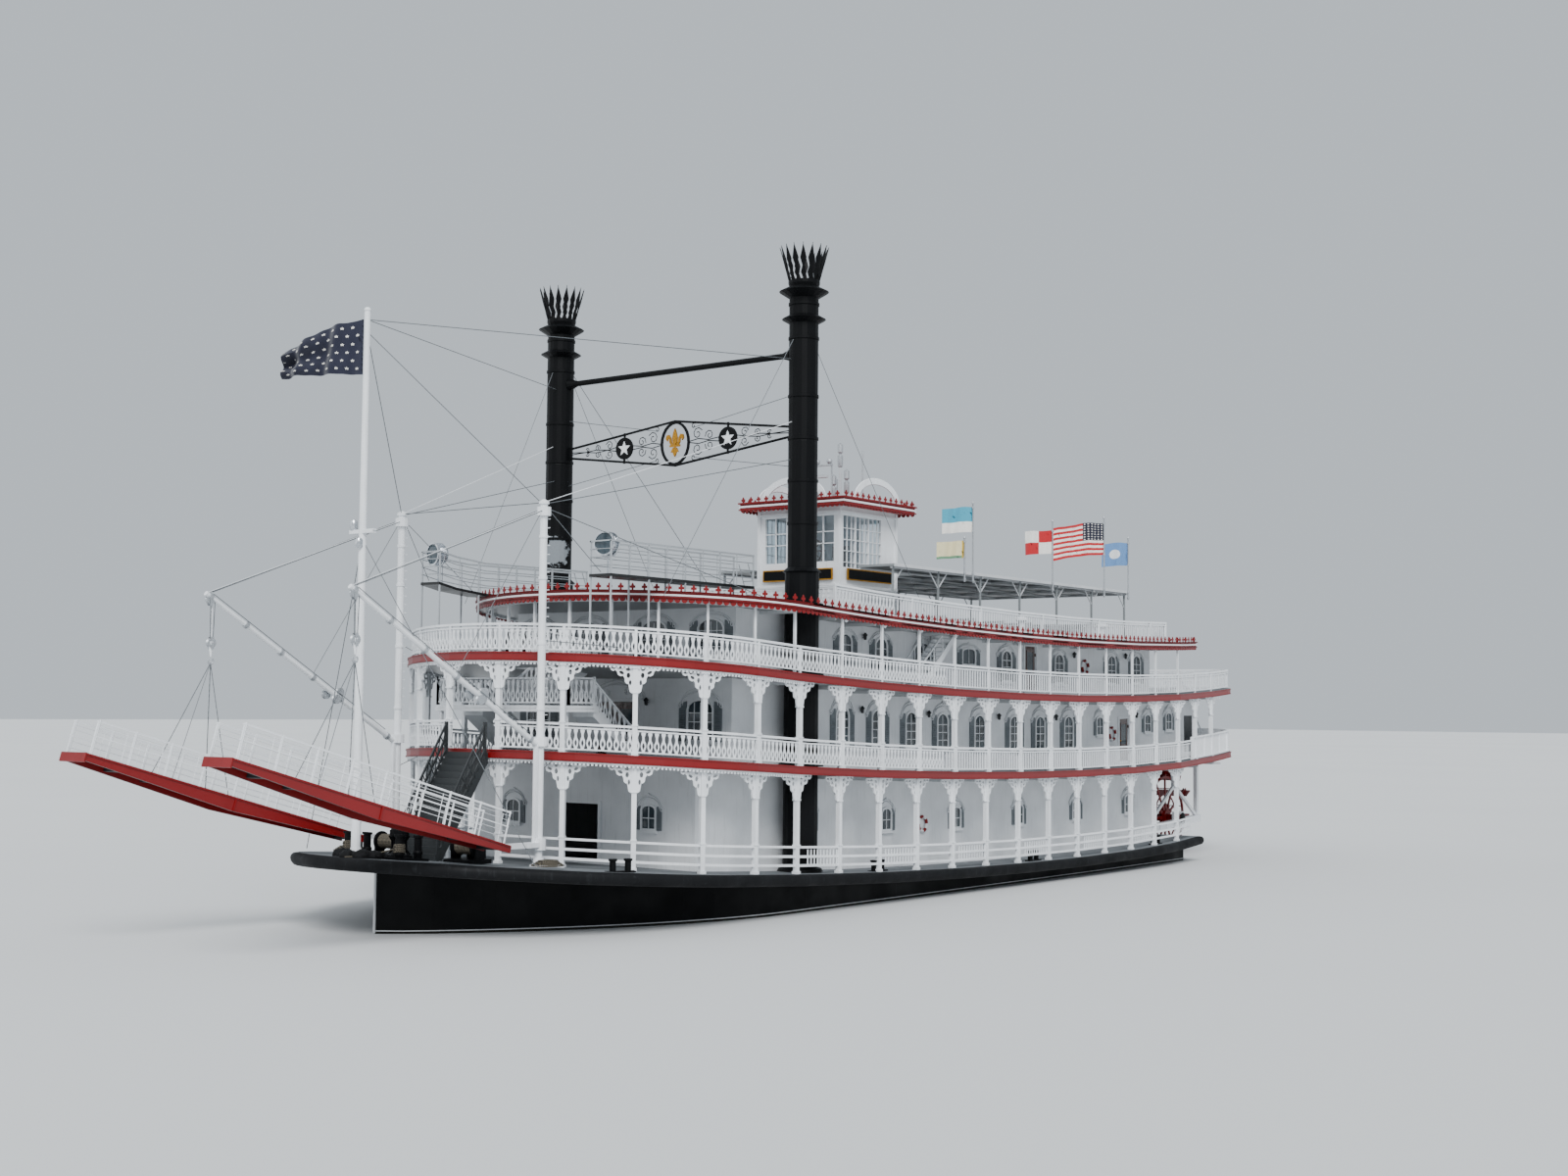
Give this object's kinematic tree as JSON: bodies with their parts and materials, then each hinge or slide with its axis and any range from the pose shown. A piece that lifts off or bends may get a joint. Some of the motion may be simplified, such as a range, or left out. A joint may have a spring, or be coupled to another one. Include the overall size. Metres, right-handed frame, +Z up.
{
  "type": "sternwheel paddle boat, 1:2 scale model",
  "caption": "Sternwheel passenger paddle boat with three railed decks, two tall stacks, a pilothouse, bow booms with landing stages and a stern paddle wheel, as a 1:2 scale model.",
  "frame": {"origin": "on the flat hull bottom, on the centreline, in the plane of the two stacks", "axes": "+X towards the bow, +Y to port, +Z up; the waterline is at z = 0.85 m"},
  "size_m": [31.8716, 7.86, 13.3017],
  "materials": {
    "white_paint": "white gloss paint on steel and wood",
    "red_paint": "deep red gloss paint on steel",
    "black_paint": "black gloss paint on steel",
    "deck_paint": "grey non-slip deck paint on steel",
    "galvanised_steel": "galvanised steel, weathered",
    "dark_paint": "dark grey paint on steel",
    "varnished_wood": "dark varnished wood",
    "window_glass": "clear window glass",
    "teal_cloth": "dyed flag cloth",
    "cream_cloth": "dyed flag cloth",
    "red_cloth": "dyed flag cloth",
    "blue_cloth": "dyed flag cloth",
    "navy_cloth": "dyed flag cloth"
  },
  "bodies": {
    "boat": {"main_house_port": "white_paint", "main_house_starboard": "white_paint", "first_house_port": "white_paint", "first_house_starboard": "white_paint", "second_cabin_port": "white_paint", "second_cabin_starboard": "white_paint", "first_deck_rail_port": "white_paint", "first_deck_rail_starboard": "white_paint", "stern_bulwark": "white_paint", "second_deck_rail": "white_paint", "main_deck_rail_port": "white_paint", "main_deck_rail_starboard": "white_paint", "roof_deck_rail": "white_paint", "mast_port": "white_paint", "mast_starboard": "white_paint", "roof_posts": "white_paint", "jackstaff": "white_paint", "grand_stair": "white_paint", "aft_stair": "white_paint", "pilothouse_base": "white_paint", "pilothouse_walls": "white_paint", "wheel_beams": "white_paint", "first_deck": "red_paint", "second_deck": "red_paint", "roof_deck": "red_paint", "pilothouse_roof": "red_paint", "hull": "black_paint", "hull_fender": "black_paint", "stack_port": "black_paint", "stack_starboard": "black_paint", "stack_crossbar": "black_paint", "stack_ornament": "black_paint", "capstan": "black_paint", "bow_bitts": "black_paint", "main_deck": "deck_paint", "catwalk_port": "galvanised_steel", "catwalk_starboard": "galvanised_steel", "bow_stair": "dark_paint", "canopy": "dark_paint", "pilothouse_glass": "window_glass", "flag_teal": "teal_cloth", "flag_cream": "cream_cloth", "flag_quartered": "red_cloth", "flag_striped": "red_cloth", "flag_blue": "blue_cloth", "flag_bow": "navy_cloth"},
    "paddle_wheel_body": {"paddle_wheel": "red_paint"},
    "rudder_port_body": {"rudder_port": "black_paint"},
    "rudder_starboard_body": {"rudder_starboard": "black_paint"},
    "boom_port_body": {"boom_port": "white_paint"},
    "boom_starboard_body": {"boom_starboard": "white_paint"},
    "stage_port_body": {"stage_port": "red_paint"},
    "stage_starboard_body": {"stage_starboard": "red_paint"},
    "pilothouse_door_body": {"pilothouse_door": "varnished_wood"},
    "saloon_door_port_body": {"saloon_door_port": "varnished_wood"},
    "saloon_door_starboard_body": {"saloon_door_starboard": "varnished_wood"},
    "first_side_door_port_body": {"first_side_door_port": "varnished_wood"},
    "first_side_door_starboard_body": {"first_side_door_starboard": "varnished_wood"},
    "second_side_door_port_body": {"second_side_door_port": "varnished_wood"},
    "second_side_door_starboard_body": {"second_side_door_starboard": "varnished_wood"}
  },
  "joints": [
    {"name": "paddle_wheel_spin", "type": "hinge", "parent": "boat", "child": "paddle_wheel_body", "pos_m": [-18.535, 0, 1.77], "axis": [0, 1, 0], "continuous": true},
    {"name": "rudder_port_steer", "type": "hinge", "parent": "boat", "child": "rudder_port_body", "pos_m": [-15.5, 0.95, 0.35], "axis": [0, 0, 1], "range_deg": [-35, 35]},
    {"name": "rudder_starboard_steer", "type": "hinge", "parent": "boat", "child": "rudder_starboard_body", "pos_m": [-15.5, -0.95, 0.35], "axis": [0, 0, 1], "range_deg": [-35, 35]},
    {"name": "boom_port_swing", "type": "hinge", "parent": "boat", "child": "boom_port_body", "pos_m": [5.47, 1.77, 4], "axis": [0, 0, 1], "range_deg": [-5, 90]},
    {"name": "stage_port_lower", "type": "hinge", "parent": "boom_port_body", "child": "stage_port_body", "pos_m": [6.35, 1.77, 2.3], "axis": [0, 1, 0], "range_deg": [0, 13]},
    {"name": "boom_starboard_swing", "type": "hinge", "parent": "boat", "child": "boom_starboard_body", "pos_m": [5.47, -1.77, 4], "axis": [0, 0, 1], "range_deg": [-90, 5]},
    {"name": "stage_starboard_lower", "type": "hinge", "parent": "boom_starboard_body", "child": "stage_starboard_body", "pos_m": [6.35, -1.77, 2.3], "axis": [0, 1, 0], "range_deg": [0, 13]},
    {"name": "pilothouse_door_swing", "type": "hinge", "parent": "boat", "child": "pilothouse_door_body", "pos_m": [-6.2653, -0.6, 7.75], "axis": [0, 0, 1], "range_deg": [0, 100]},
    {"name": "saloon_door_port_swing", "type": "hinge", "parent": "boat", "child": "saloon_door_port_body", "pos_m": [1.6153, 0.475, 4.2], "axis": [0, 0, 1], "range_deg": [0, 100]},
    {"name": "first_side_door_port_swing", "type": "hinge", "parent": "boat", "child": "first_side_door_port_body", "pos_m": [-14.025, 2.7903, 3.85], "axis": [0, 0, 1], "range_deg": [0, 100]},
    {"name": "second_side_door_port_swing", "type": "hinge", "parent": "boat", "child": "second_side_door_port_body", "pos_m": [-9.425, 2.7903, 5.5], "axis": [0, 0, 1], "range_deg": [0, 100]},
    {"name": "saloon_door_starboard_swing", "type": "hinge", "parent": "boat", "child": "saloon_door_starboard_body", "pos_m": [1.6153, -0.475, 4.2], "axis": [0, 0, 1], "range_deg": [-100, 0]},
    {"name": "first_side_door_starboard_swing", "type": "hinge", "parent": "boat", "child": "first_side_door_starboard_body", "pos_m": [-14.025, -2.7903, 3.85], "axis": [0, 0, 1], "range_deg": [-100, 0]},
    {"name": "second_side_door_starboard_swing", "type": "hinge", "parent": "boat", "child": "second_side_door_starboard_body", "pos_m": [-9.425, -2.7903, 5.5], "axis": [0, 0, 1], "range_deg": [-100, 0]}
  ],
  "couplings": [
    {"joint": "rudder_starboard_steer", "follows": "rudder_port_steer", "ratio": 1}
  ]
}
